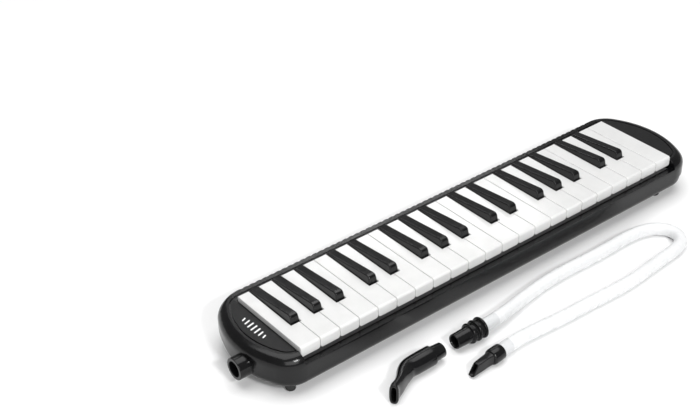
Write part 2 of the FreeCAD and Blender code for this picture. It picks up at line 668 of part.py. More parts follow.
def air_chamber():
    floor = "Dims.foot_height + Dims.floor_thickness"
    outside = box("chamber_outside", "-Dims.chamber_half_length", "Dims.chamber_half_length",
                  "Dims.chamber_front", "Dims.chamber_back", floor, "Dims.chamber_top")
    inside = box("chamber_inside", "-Dims.chamber_half_length + Dims.chamber_wall / 2",
                 "Dims.chamber_half_length - Dims.chamber_wall / 2",
                 "Dims.chamber_front + Dims.chamber_wall", "Dims.chamber_back - Dims.chamber_wall",
                 f"{floor} + Dims.chamber_floor", f"Dims.chamber_top + {LAP}")
    inlet = cylinder("chamber_inlet", "Dims.spigot_radius + Dims.fit", f"2 * {CLEAR}",
                     (f"-Dims.chamber_half_length - {CLEAR}", "Dims.inlet_depth",
                      "Dims.spigot_height"), "x")
    drain = cylinder("chamber_drain", "Dims.drain_hole", f"2 * {CLEAR}",
                     ("Dims.drain_along", "Dims.drain_depth", "Dims.foot_height"))
    pilots = chamber_screw_cylinders("chamber_pilot", "Dims.chamber_screw_radius",
                                     "Dims.chamber_screw_end", "Dims.plate_top")
    solid = cut("air_chamber", outside,
                fuse("chamber_holes", [inside, inlet, drain] + pilots))
    return finish(solid)


def chamber_gasket():
    sheet_solid = box("gasket_sheet", "-Dims.chamber_half_length", "Dims.chamber_half_length",
                      "Dims.chamber_front", "Dims.chamber_back", "Dims.chamber_top",
                      "Dims.chamber_top + Dims.gasket_thickness")
    opening = box("gasket_opening", "-Dims.chamber_half_length + Dims.chamber_wall / 2",
                  "Dims.chamber_half_length - Dims.chamber_wall / 2",
                  "Dims.chamber_front + Dims.chamber_wall",
                  "Dims.chamber_back - Dims.chamber_wall",
                  f"Dims.chamber_top - {LAP}", f"Dims.chamber_top + {CLEAR}")
    holes = chamber_screw_cylinders("gasket_hole", "Dims.chamber_screw_radius",
                                    "Dims.chamber_screw_end", "Dims.plate_top")
    solid = cut("chamber_gasket", sheet_solid, fuse("gasket_holes", [opening] + holes))
    return finish(solid)


def valve_plate():
    plate = box("plate_sheet", "-Dims.chamber_half_length", "Dims.chamber_half_length",
                "Dims.chamber_front", "Dims.chamber_back",
                "Dims.chamber_top + Dims.gasket_thickness", "Dims.plate_top")
    holes = chamber_screw_cylinders("plate_hole", "Dims.chamber_screw_radius",
                                    "Dims.chamber_screw_end", "Dims.plate_top")
    for i, centre in enumerate(valve_centres()):
        holes.append(box(f"valve_slot_{i}", f"({centre}) - Dims.valve_width / 2",
                         f"({centre}) + Dims.valve_width / 2",
                         "Dims.valve_depth - Dims.valve_length / 2",
                         "Dims.valve_depth + Dims.valve_length / 2",
                         f"Dims.chamber_top - {LAP}", f"Dims.plate_top + {LAP}"))
    solid = cut("valve_plate", plate, fuse("plate_holes", holes))
    return finish(solid)


def reed_length(i):
    """Reeds get shorter by an equal ratio from note to note."""
    ratio = f"(Dims.shortest_reed / Dims.longest_reed) ^ ({i} / 36)"
    return f"Dims.longest_reed * {ratio}"


REED_TOP = "Dims.chamber_top + Dims.gasket_thickness - Dims.reed_plate_thickness"


def reed_plate():
    plate = box("reed_sheet", "-Dims.reed_plate_half_length", "Dims.reed_plate_half_length",
                "Dims.reed_plate_front", "Dims.reed_plate_back", REED_TOP,
                "Dims.chamber_top + Dims.gasket_thickness")
    holes = rivet_cylinders("reed_plate_rivet", "Dims.rivet_radius", REED_TOP, "Dims.plate_top")
    for i, centre in enumerate(valve_centres()):
        holes.append(box(f"reed_slot_{i}", f"({centre}) - Dims.reed_width / 2 - Dims.reed_play",
                         f"({centre}) + Dims.reed_width / 2 + Dims.reed_play",
                         f"Dims.reed_root - {reed_length(i)} - Dims.reed_play",
                         "Dims.reed_root - 1.8", f"{REED_TOP} - {LAP}", "Dims.plate_top"))
    solid = cut("reed_plate", plate, fuse("reed_plate_holes", holes))
    return finish(solid)


def rivet_cylinders(name, radius, bottom, top):
    return [cylinder(f"{name}_{i}", radius, f"({top}) - ({bottom})",
                     (centre, "Dims.reed_root - 0.6", bottom))
            for i, centre in enumerate(valve_centres())]


def reeds():
    tongues = []
    for i, centre in enumerate(valve_centres()):
        tongues.append(box(f"reed_{i}", f"({centre}) - Dims.reed_width / 2",
                           f"({centre}) + Dims.reed_width / 2",
                           f"Dims.reed_root - {reed_length(i)}", "Dims.reed_root + 1",
                           f"{REED_TOP} - Dims.reed_thickness", REED_TOP))
    holes = rivet_cylinders("reed_rivet_hole", "Dims.rivet_radius", f"{REED_TOP} - {LAP}",
                            "Dims.plate_top")
    solid = cut("reeds", fuse("reed_tongues", tongues), fuse("reed_holes", holes))
    return finish(solid)


def reed_rivets():
    under_reed = f"{REED_TOP} - Dims.reed_thickness"
    shanks = rivet_cylinders("rivet_shank", "Dims.rivet_radius", under_reed,
                             "Dims.chamber_top + Dims.gasket_thickness")
    heads = rivet_cylinders("rivet_head", "Dims.rivet_head_radius",
                            f"{under_reed} - Dims.rivet_head", under_reed)
    solid = fuse("reed_rivets", shanks + heads)
    return finish(solid)


def chamber_screws():
    shanks = chamber_screw_cylinders("screw_shank", "Dims.chamber_screw_radius",
                                     "Dims.chamber_screw_end", "Dims.plate_top")
    heads = chamber_screw_cylinders("screw_head", "Dims.chamber_screw_head", "Dims.plate_top",
                                    "Dims.plate_top + Dims.chamber_head_thickness")
    slots = []
    for i, head in enumerate(heads):
        along = CHAMBER_SCREW_COLUMNS[i // 2]
        row_expression = ("Dims.chamber_front + Dims.chamber_wall / 2",
                          "Dims.chamber_back - Dims.chamber_wall / 2")[i % 2]
        for turned, (half_x, half_y) in enumerate(((1.5, 0.3), (0.3, 1.5))):
            slots.append(box(f"screw_cross_{i}_{turned}", f"{along} - {half_x}",
                             f"{along} + {half_x}", f"{row_expression} - {half_y}",
                             f"{row_expression} + {half_y}",
                             "Dims.plate_top + Dims.chamber_head_thickness - Dims.cross_depth",
                             f"Dims.plate_top + {CLEAR}"))
    solid = cut("chamber_screws", fuse("chamber_screw_blanks", shanks + heads),
                fuse("chamber_screw_slots", slots))
    return finish(solid)


def case_screws():
    head_top = "Dims.foot_height + Dims.case_head_depth"
    head_bottom = f"{head_top} - Dims.case_head_thickness"
    shanks = screw_posts("case_shank", "Dims.case_screw_radius",
                         f"{head_top} - Dims.case_head_thickness / 2", "Dims.case_screw_tip")
    heads = screw_posts("case_head", "Dims.case_screw_head", head_bottom, head_top)
    slots = []
    for along in (-1, 1):
        for depth in (-1, 1):
            x = f"{along} * Dims.screw_post_length"
            y = f"{depth} * Dims.screw_post_depth"
            for half_x, half_y in ((2.0, 0.4), (0.4, 2.0)):
                slots.append(box(f"case_cross_{len(slots)}", f"{x} - {half_x}", f"{x} + {half_x}",
                                 f"{y} - {half_y}", f"{y} + {half_y}",
                                 f"{head_bottom} - {LAP}", f"{head_bottom} + Dims.cross_depth"))
    solid = cut("case_screws", fuse("case_screw_blanks", shanks + heads),
                fuse("case_screw_slots", slots))
    return finish(solid)


# ---------------------------------------------------------------- key bearing, stops, springs
def key_axle():
    axle = cylinder("key_axle", "Dims.axle_radius", "Dims.axle_half_length * 2",
                    ("-Dims.axle_half_length", "Dims.pivot_depth", "Dims.pivot_height"), "x")
    return finish(axle)


def bracket_places():
    """Brackets stand where two white keys meet with no black key, and past both ends."""
    half = WHITE_COUNT / 2
    past_end = "1.25 * Dims.bracket_width"
    places = [f"-{KEYBOARD_HALF} - {past_end}", f"{KEYBOARD_HALF} + {past_end}"]
    for boundary in range(1, WHITE_COUNT):
        if black_shift(boundary) is None:
            places.append(f"({boundary} - {half}) * Dims.white_pitch")
    return places


def axle_brackets():
    posts = []
    for i, place in enumerate(bracket_places()):
        posts.append(box(f"bracket_{i}", f"({place}) - Dims.bracket_width / 2",
                         f"({place}) + Dims.bracket_width / 2",
                         "Dims.pivot_depth - Dims.bracket_length / 2",
                         "Dims.pivot_depth + Dims.bracket_length / 2",
                         "Dims.plate_top", "Dims.bracket_top"))
    bore = cylinder("bracket_bore", "Dims.axle_radius + Dims.fit",
                    f"2 * (Dims.axle_half_length + {LAP})",
                    (f"-Dims.axle_half_length - {LAP}", "Dims.pivot_depth", "Dims.pivot_height"),
                    "x")
    solid = cut("axle_brackets", fuse("bracket_posts", posts), bore)
    return finish(solid)


def stop_felt():
    felt = box("stop_felt", f"-{KEYBOARD_HALF}", KEYBOARD_HALF,
               "Dims.rib_front", "Dims.rib_back", "Dims.rib_top",
               "Dims.rib_top + Dims.felt_thickness")
    return finish(felt)


def key_springs():
    """A strip of spring steel under the rear rail, with one finger on each key's tail."""
    roof = "Dims.deck_height - Dims.wall"
    strip = box("spring_strip", f"-{KEYBOARD_HALF}", KEYBOARD_HALF,
                "Dims.spring_strip_front", "Dims.spring_strip_back",
                f"{roof} - Dims.spring_thickness", roof)
    # The finger's upper corner stays under the roof.
    drop = number(f"{roof} - 1.9 * Dims.spring_thickness - Dims.arm_top")
    run = number("Dims.spring_strip_front - Dims.spring_foot")
    slope = math.degrees(math.atan2(drop, run))
    reach = math.hypot(drop, run)
    fingers = []
    for i, centre in enumerate(valve_centres()):
        finger = box(f"spring_finger_{i}", f"({centre}) - Dims.spring_width / 2",
                     f"({centre}) + Dims.spring_width / 2", "Dims.spring_foot",
                     f"Dims.spring_foot + {reach + 0.3:.3f}", "Dims.arm_top + 0.05",
                     "Dims.arm_top + 0.05 + Dims.spring_thickness")
        finger.Placement = FreeCAD.Placement(finger.Placement.Base,
                                             FreeCAD.Rotation(Vector(1, 0, 0), slope))
        fingers.append(finger)
    solid = fuse("key_springs", [strip] + fingers)
    return finish(solid)


# ---------------------------------------------------------------- drain valve
def drain_button():
    """Push button under the case; it lifts a disc off the chamber's drain hole."""
    body = new_body("drain_button")
    body.setExpression("Placement.Base.x", "Dims.drain_along * 1 mm")
    body.setExpression("Placement.Base.y", "Dims.drain_depth * 1 mm")
    half = new_sketch(body, "drain_profile", "XZ_Plane")
    seat = "Dims.foot_height + Dims.floor_thickness + Dims.chamber_floor"
    draw_polygon(half, [("0", "Dims.drain_knob_bottom"),
                        ("Dims.drain_knob_radius", "Dims.drain_knob_bottom"),
                        ("Dims.drain_knob_radius", "Dims.foot_height - 0.4"),
                        ("Dims.drain_stem_radius", "Dims.foot_height - 0.4"),
                        ("Dims.drain_stem_radius", seat),
                        ("Dims.drain_disc_radius", seat),
                        ("Dims.drain_disc_radius", "Dims.drain_disc_top"),
                        ("0", "Dims.drain_disc_top")])
    turned = body.newObject("PartDesign::Revolution", "drain_turned")
    turned.Profile = half
    turned.ReferenceAxis = (half, ["V_Axis"])
    turned.Angle = 360
    half.Visibility = False
    low = number("Dims.drain_knob_bottom")
    body.Tip = round_edges(body, "drain_rounding", turned,
                           lambda b: near(b.ZMin, low) and near(b.ZMax, low), "0.8")
    return finish(body)


def drain_spring():
    helix = doc.addObject("Part::Helix", "drain_helix")
    helix.setExpression("Pitch", "Dims.drain_spring_pitch * 1 mm")
    helix.setExpression("Height", "Dims.drain_spring_height * 1 mm")
    helix.setExpression("Radius", "Dims.drain_spring_radius * 1 mm")
    wire = doc.addObject("Part::Circle", "drain_wire")
    wire.setExpression("Radius", "Dims.drain_wire_radius * 1 mm")
    wire.Placement = FreeCAD.Placement(Vector(number("Dims.drain_spring_radius"), 0, 0),
                                       FreeCAD.Rotation(Vector(1, 0, 0), 90))
    coil = doc.addObject("Part::Sweep", "drain_spring")
    coil.Sections = [wire]
    coil.Spine = (helix, ["Edge1"])
    coil.Solid = True
    coil.Frenet = True
    base = ("Dims.drain_along", "Dims.drain_depth",
            "Dims.drain_disc_top + Dims.drain_wire_radius + 0.05")
    for letter, expression in zip("xyz", base):
        coil.setExpression(f"Placement.Base.{letter}", f"({expression}) * 1 mm")
    return finish(coil)


# ---------------------------------------------------------------- loose mouthpiece
# Middle, turn about Z, half width and half height of the mouthpiece's sections, from
# the bend to the tip. The piece lies on its side, so its flat lips stand upright.
SPOUT_SECTIONS = [
    ((-133.0, -86.0, 8.4), 0.0, 8.2, 8.3),
    ((-143.0, -86.8, 8.5), 12.0, 7.6, 8.4),
    ((-150.5, -90.6, 8.8), 34.0, 6.0, 8.3),
    ((-161.0, -97.4, 9.3), 37.0, 3.9, 8.7),
    ((-169.5, -103.6, 9.6), 37.0, 3.9, 9.5),
]


def spout_loft(name, shrink):
    rings = []
    for i, (middle, turn, half_width, half_height) in enumerate(SPOUT_SECTIONS):
        ring = doc.addObject("Part::Ellipse", f"{name}_ring_{i}")
        ring.MajorRadius = half_height - shrink
        ring.MinorRadius = half_width - shrink
        # The ellipse's long axis turns upright and its plane faces along the bore.
        upright = FreeCAD.Rotation(Vector(0, 0, 1), Vector(0, -1, 0), Vector(1, 0, 0), "ZXY")
        ring.Placement = FreeCAD.Placement(
            Vector(*middle), FreeCAD.Rotation(Vector(0, 0, 1), turn).multiply(upright))
        rings.append(ring)
    loft = doc.addObject("Part::Loft", name)
    loft.Sections = rings
    loft.Solid = True
    return loft


def short_mouthpiece():
    bend = SPOUT_SECTIONS[0][0]
    shoulder = number("Dims.spout_start - Dims.spout_stub_length")
    stub = doc.addObject("Part::Cone", "spout_stub")
    stub.setExpression("Radius1", "(Dims.core_radius - 0.05) * 1 mm")
    stub.setExpression("Radius2", "Dims.plug_tip_radius * 1 mm")
    stub.setExpression("Height", "(Dims.spout_stub_length + 1) * 1 mm")
    stub.Placement = FreeCAD.Placement(Vector(shoulder - 1, bend[1], bend[2]),
                                       FreeCAD.Rotation(Vector(0, 1, 0), 90))
    barrel = cylinder("spout_barrel", "Dims.spout_body_radius", str(shoulder - bend[0] + 1),
                      (str(bend[0] - 1), str(bend[1]), str(bend[2])), "x")
    bore = cylinder("spout_channel", "Dims.spout_bore", f"Dims.spout_start - ({bend[0]}) + 3",
                    (str(bend[0] - 2), str(bend[1]), str(bend[2])), "x")
    outside = fuse("spout_outside", [stub, barrel, spout_loft("spout_neck", 0.0)])
    inside = fuse("spout_inside", [bore, spout_loft("spout_duct", number("Dims.spout_wall"))])
    solid = cut("short_mouthpiece", outside, inside)
    return finish(solid)


# ---------------------------------------------------------------- hose
# Middle line of the hose from the ribbed plug to the flat mouthpiece, on the table.
HOSE_ROUTE = [
    (-61.8, -86.4, 9.3), (-46.0, -86.4, 9.3), (-26.0, -82.6, 7.7), (-4.0, -77.7, 6.1),
    (35.0, -73.2, 5.75), (85.0, -75.4, 5.75), (128.0, -74.0, 5.75), (152.0, -78.0, 5.75),
    (164.5, -91.0, 5.75), (162.5, -107.0, 5.75), (146.5, -114.2, 5.75), (118.0, -116.0, 5.75),
    (78.0, -120.6, 5.75), (33.0, -118.2, 5.75), (-2.0, -117.2, 5.75), (-32.0, -114.6, 6.2),
    (-52.0, -114.3, 6.75), (-69.0, -115.94, 6.75),
]


def hose_path():
    """Straight runs joined by tangent arcs; each arc is as large as its runs allow."""
    points = [Vector(*point) for point in HOSE_ROUTE]
    edges = []
    cursor = points[0]
    for before, corner, after in zip(points, points[1:], points[2:]):
        towards = (before - corner).normalize()
        onwards = (after - corner).normalize()
        shorter = min((before - corner).Length, (after - corner).Length)
        half_turn = (math.pi - towards.getAngle(onwards)) / 2
        reach = 0.45 * shorter
        radius = reach / math.tan(half_turn)
        print(f"hose bend at {corner.x:.0f}, {corner.y:.0f}: radius {radius:.1f} mm")
        start = corner + towards * reach
        end = corner + onwards * reach
        middle_way = (towards + onwards).normalize()
        centre = corner + middle_way * (radius / math.cos(half_turn))
        middle = centre - middle_way * radius
        edges.append(Part.LineSegment(cursor, start).toShape())
        edges.append(Part.Arc(start, middle, end).toShape())
        cursor = end
    edges.append(Part.LineSegment(cursor, points[-1]).toShape())
    return Part.Wire(edges)


def hose_tube():
    path = doc.addObject("Part::Feature", "hose_path")
    path.Shape = hose_path()
    ring = doc.addObject("Part::Circle", "hose_section")
    ring.setExpression("Radius", "Dims.hose_radius * 1 mm")
    first, second = Vector(*HOSE_ROUTE[0]), Vector(*HOSE_ROUTE[1])
    ring.Placement = FreeCAD.Placement(first, FreeCAD.Rotation(Vector(0, 0, 1), second - first))
    tube = doc.addObject("Part::Sweep", "hose_tube")
    tube.Sections = [ring]
    tube.Spine = (path, [f"Edge{i}" for i in range(1, len(path.Shape.Edges) + 1)])
    tube.Solid = True
    tube.Frenet = False
    doc.recompute()
    length = path.Shape.Length
    expected = math.pi * number("Dims.hose_radius") ** 2 * length
    print(f"hose length {length:.1f} mm, volume {tube.Shape.Volume:.0f}, expected {expected:.0f}")
    return finish(tube)


RIB_COUNT = 3
CONNECTOR_TIP = (-91.9, -86.4)


def turned_piece(name, outline, place):
    """A body turned about its own X axis, lying on the table."""
    body = new_body(name)
    half = new_sketch(body, name + "_profile", "XY_Plane")
    draw_polygon(half, outline)
    turned = body.newObject("PartDesign::Revolution", name + "_turned")
    turned.Profile = half
    turned.ReferenceAxis = (half, ["H_Axis"])
    turned.Angle = 360
    half.Visibility = False
    body.Placement.Base = Vector(*place)
    return body


def hose_connector():
    outline = [("0", "Dims.plug_bore"), ("0", "Dims.plug_tip_radius")]
    for i in range(RIB_COUNT):
        start = f"Dims.first_rib + {i} * Dims.rib_pitch"
        outline += [(start, "Dims.core_radius"), (start, "Dims.rib_radius"),
                    (f"{start} + Dims.rib_width", "Dims.rib_radius"),
                    (f"{start} + Dims.rib_width", "Dims.core_radius")]
    # The last rib's side is the end face, so it runs straight down to the nipple.
    end = outline.pop()[0]
    outline += [(end, "Dims.hose_nipple"), ("Dims.plug_floor", "Dims.hose_nipple"),
                ("Dims.plug_floor", "Dims.plug_bore")]
    rib_edge = number("Dims.rib_radius")
    body = turned_piece("hose_connector", outline, (*CONNECTOR_TIP, rib_edge))
    body.Tip = round_edges(body, "connector_rounding", doc.getObject("hose_connector_turned"),
                           lambda b: near(b.YMax, rib_edge) and b.XLength < 0.01, "0.8")
    return finish(body)


# Half width and half height of the flat bill: inside the collar, past it, and at its tip.
BILL_SIZES = [(4.6, 5.2), (3.6, 5.8), (2.8, 6.2)]
BILL_SLANT = 28.0
BILL_TURN = 5.5


def hose_mouthpiece():
    """Round collar and a flat bill on its side; all shapes are made along the collar's axis."""
    collar = doc.addObject("Part::Cylinder", "bill_collar")
    collar.setExpression("Radius", "Dims.collar_radius * 1 mm")
    collar.setExpression("Height", "Dims.collar_length * 1 mm")
    along_x = FreeCAD.Rotation(Vector(0, 1, 0), 90)
    length = number("Dims.collar_length")
    collar.Placement = FreeCAD.Placement(Vector(-length, 0, 0), along_x)
    doc.recompute()
    size = number("Dims.collar_round")
    rounded = doc.addObject("Part::Fillet", "bill_collar_rounded")
    rounded.Base = collar
    rounded.Edges = [(i, size, size) for i, edge in enumerate(collar.Shape.Edges, start=1)
                     if edge.BoundBox.XLength < 0.01]
    reach = number("Dims.bill_length")
    places = [-length + float(LAP), -length - 0.4 * reach, -length - reach]
    sections = [(place, *sizes) for place, sizes in zip(places, BILL_SIZES)]
    bore = doc.addObject("Part::Cylinder", "bill_bore")
    bore.setExpression("Radius", "Dims.bill_bore * 1 mm")
    bore.setExpression("Height", f"(Dims.collar_length + {LAP}) * 1 mm")
    bore.Placement = FreeCAD.Placement(Vector(-length, 0, 0), along_x)
    outside = fuse("bill_outside", [rounded, bill_loft("bill", sections, 0.0)])
    # The mouth is cut off at a slant; the cutting box leans back over the tip.
    slant = box("bill_slant", "-12", "0", "-10", "10", "-15", "15")
    slant.Placement = FreeCAD.Placement(Vector(3.5 - length - reach, 0, 0),
                                        FreeCAD.Rotation(Vector(0, 1, 0), BILL_SLANT),
                                        Vector(0, 0, 0))
    wall = number("Dims.bill_wall")
    inside = fuse("bill_inside", [bill_loft("bill_duct", sections, wall), bore])
    solid = cut("hose_mouthpiece", cut("bill_cut", outside, slant), inside)
    end = HOSE_ROUTE[-1]
    solid.Placement = FreeCAD.Placement(Vector(*end),
                                        FreeCAD.Rotation(Vector(0, 0, 1), BILL_TURN))
    return finish(solid)


def bill_loft(name, sections, shrink):
    """Loft of upright ellipses across the X axis."""
    upright = FreeCAD.Rotation(Vector(0, 0, 1), Vector(0, -1, 0), Vector(1, 0, 0), "ZXY")
    rings = []
    for i, (along, half_width, half_height) in enumerate(sections):
        ring = doc.addObject("Part::Ellipse", f"{name}_ring_{i}")
        ring.MajorRadius = half_height - shrink
        ring.MinorRadius = half_width - shrink
        ring.Placement = FreeCAD.Placement(Vector(along, 0, 0), upright)
        rings.append(ring)
    loft = doc.addObject("Part::Loft", name)
    loft.Sections = rings
    loft.Solid = True
    return loft


# ---------------------------------------------------------------- build, check, export
for white_index in range(WHITE_COUNT):
    white_key(white_index)
    if black_shift(white_index + 1) is not None:
        black_key(white_index + 1)
top_case()
bottom_case()
feet()
inlet_socket()
inlet_seal()
air_chamber()
chamber_gasket()
valve_plate()
reed_plate()
reeds()
reed_rivets()
chamber_screws()
case_screws()
key_axle()
axle_brackets()
stop_felt()
key_springs()
drain_button()
drain_spring()
short_mouthpiece()
hose_connector()
hose_tube()
hose_mouthpiece()
doc.recompute()

for item in doc.Objects:
    if "Invalid" in item.State or "Error" in item.State:
        raise RuntimeError(f"{item.Label}: {item.State}")
os.makedirs("parts", exist_ok=True)
for part in finished:
    if part.Shape.isNull() or not part.Shape.isValid():
        raise RuntimeError(f"{part.Label} has no valid shape")
    part.Shape.exportStep(f"parts/{part.Label}.step")
print(f"{len(finished)} sub-parts")
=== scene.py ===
"""Looks of the melodica, its short mouthpiece and its mouthpiece hose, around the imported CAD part."""
import json
import math

import bmesh
import bpy
from mathutils import Matrix, Vector


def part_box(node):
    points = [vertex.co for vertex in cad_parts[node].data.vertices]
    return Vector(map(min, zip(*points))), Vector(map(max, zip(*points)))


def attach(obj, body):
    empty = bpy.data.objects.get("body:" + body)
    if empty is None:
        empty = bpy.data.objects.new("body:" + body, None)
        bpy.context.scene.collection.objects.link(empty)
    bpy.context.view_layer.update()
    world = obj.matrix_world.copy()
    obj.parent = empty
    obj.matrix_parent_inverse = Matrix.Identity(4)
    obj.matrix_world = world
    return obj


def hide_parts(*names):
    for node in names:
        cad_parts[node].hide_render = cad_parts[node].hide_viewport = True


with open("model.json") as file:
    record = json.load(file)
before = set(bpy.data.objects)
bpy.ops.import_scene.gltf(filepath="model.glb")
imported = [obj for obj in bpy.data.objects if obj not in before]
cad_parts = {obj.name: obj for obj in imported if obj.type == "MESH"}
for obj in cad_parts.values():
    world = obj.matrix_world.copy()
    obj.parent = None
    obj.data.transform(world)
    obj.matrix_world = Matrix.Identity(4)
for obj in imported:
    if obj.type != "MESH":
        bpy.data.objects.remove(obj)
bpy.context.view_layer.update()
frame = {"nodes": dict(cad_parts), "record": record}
MM = 0.001

# ------------------------------------------------------------------ driving values
# Lengths are in metres, and in millimetres where a name or a comment says so.

# The photo's camera, fitted to the keyboard's edges and the even spacing of its keys.
CAMERA_PLACE = Vector((-0.67554, -0.69949, 0.71045))
AZIMUTH, ELEVATION, ROLL = (math.radians(a) for a in (-36.572, 33.77, -2.153))
LENS_MM = 69.84
SENSOR_MM = 36
LENS_SHIFT = (0.0434, -0.0108)

WORLD_STRENGTH = 0.24
# Name, place, aim, width and depth, watts.
AREA_LIGHTS = (
    ("overhead", (0.0, 0.25, 2.4), (0.0, 0.0, 0.0), (3.2, 2.2), 60),
    ("front_fill", (-1.2, -2.2, 1.3), (0.0, 0.0, 0.02), (2.2, 1.4), 27),
    ("front_spark", (-0.34, -1.39, 1.19), (-0.2, -0.05, 0.03), (0.34, 0.14), 14),
    ("far_strip", (0.9, 1.7, 1.4), (0.0, 0.0, 0.03), (1.5, 0.12), 4),
)
FLOOR_HALF = 6

DECK_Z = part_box("top_case")[1].z
PANEL_START = 0.217             # from here outwards the deck is an end panel
PANEL_FADE = 0.004
DECK_FADE = (0.0002, 0.00005)   # depths under the deck between which the panel's look begins
KEY_LOW_DARKENING = (0.0300, 0.0345)    # heights between which a white key's patchy darkening fades out

# Middle line of the hose, the same points as the solid's.
HOSE_ROUTE = [
    (-0.0618, -0.0864, 0.0093), (-0.0460, -0.0864, 0.0093), (-0.0260, -0.0826, 0.0077),
    (-0.0040, -0.0777, 0.0061), (0.0350, -0.0732, 0.00575), (0.0850, -0.0754, 0.00575),
    (0.1280, -0.0740, 0.00575), (0.1520, -0.0780, 0.00575), (0.1645, -0.0910, 0.00575),
    (0.1625, -0.1070, 0.00575), (0.1465, -0.1142, 0.00575), (0.1180, -0.1160, 0.00575),
    (0.0780, -0.1206, 0.00575), (0.0330, -0.1182, 0.00575), (-0.0020, -0.1172, 0.00575),
    (-0.0320, -0.1146, 0.0062), (-0.0520, -0.1143, 0.00675), (-0.0690, -0.11594, 0.00675),
]
HOSE_DIAMETER = 0.0115
RUNS_APART_Y = -0.1005      # between the hose's run from the plug and its run to the flat end
PLUG_NIPPLE_X = -0.0460     # how far each end piece's nipple shows through the hose
FLAT_NIPPLE_X = -0.0580
NIPPLE_FADE = 0.0005
NIPPLE_SHADE = 0.42

SHORT_AXIS_MM = (-86.0, 8.4)  # Y and Z of the short mouthpiece's straight part

# Ribs of the plug in millimetres: where each starts along the plug, and its radius.
RIBS = ((15.4, 8.9), (21.5, 9.15), (27.7, 9.3))
RIB_WIDTH = 2.4
RIB_CORE = 6.6
RIB_ARC_STEPS = 8
RIB_FOOT = 0.5              # how far a rib's foot flares out, along the plug and up
RIB_LIP = 0.05              # how far the top of the foot stands off the rib
FLAT_END_TURN = 5.5         # degrees about Z, in line with the hose's end

LATHE_SEGMENTS = 64
DUCT_POINTS = 48
BEND_STEPS = 5              # steps from one listed ring to the next
SMOOTH_ANGLE = 35           # degrees; sharper edges stay sharp
DUCT_SMOOTH_ANGLE = 50

MOTIF_X = -0.2238
BAR_COUNT = 7
BAR_PITCH = 0.0046
FIRST_BAR_Y = -0.0115
BAR_HALF_LENGTH = 0.0036
BAR_TAPER = 1.6             # bars missing at each end of the half wave that sets the lengths
BAR_LOW = -0.0016
BAR_LEAN = 0.0014
BAR_WIDTH = 0.0014
INK_SUNK = 0.00002
INK_RAISED = 0.00006


# ------------------------------------------------------------------ camera, floor, light
def make_camera():
    level = Vector((math.cos(AZIMUTH), math.sin(AZIMUTH), 0))
    rise = Vector((-math.sin(AZIMUTH) * math.sin(ELEVATION),
                   math.cos(AZIMUTH) * math.sin(ELEVATION), math.cos(ELEVATION)))
    right = level * math.cos(ROLL) + rise * math.sin(ROLL)
    up = rise * math.cos(ROLL) - level * math.sin(ROLL)
    back = right.cross(up)
    data = bpy.data.cameras.new("camera")
    data.lens = LENS_MM
    data.sensor_width = SENSOR_MM
    data.shift_x, data.shift_y = LENS_SHIFT
    camera = bpy.data.objects.new("camera", data)
    turn = Matrix((right, up, back)).transposed().to_4x4()
    camera.matrix_world = Matrix.Translation(CAMERA_PLACE) @ turn
    bpy.context.scene.collection.objects.link(camera)
    bpy.context.scene.camera = camera


def area_light(name, place, aim, size, power):
    data = bpy.data.lights.new(name, "AREA")
    data.shape = "RECTANGLE"
    data.size, data.size_y = size
    data.energy = power
    light = bpy.data.objects.new(name, data)
    light.location = place
    light.rotation_euler = (Vector(aim) - Vector(place)).to_track_quat("-Z", "Y").to_euler()
    bpy.context.scene.collection.objects.link(light)


def make_studio():
    world = bpy.data.worlds.new("studio")
    world.use_nodes = True
    background = world.node_tree.nodes["Background"]
    background.inputs["Color"].default_value = (1.0, 1.0, 1.0, 1)
    background.inputs["Strength"].default_value = WORLD_STRENGTH
    bpy.context.scene.world = world
    for light in AREA_LIGHTS:
        area_light(*light)
    bpy.context.scene.view_settings.view_transform = "Standard"


def make_floor():
    bm = bmesh.new()
    bmesh.ops.create_grid(bm, x_segments=8, y_segments=8, size=FLOOR_HALF)
    return add_mesh("floor", bm, floor_material())


# ------------------------------------------------------------------ node helpers
NOISE_SPREAD = (0.3, 0.7)   # where most of a noise texture's values lie


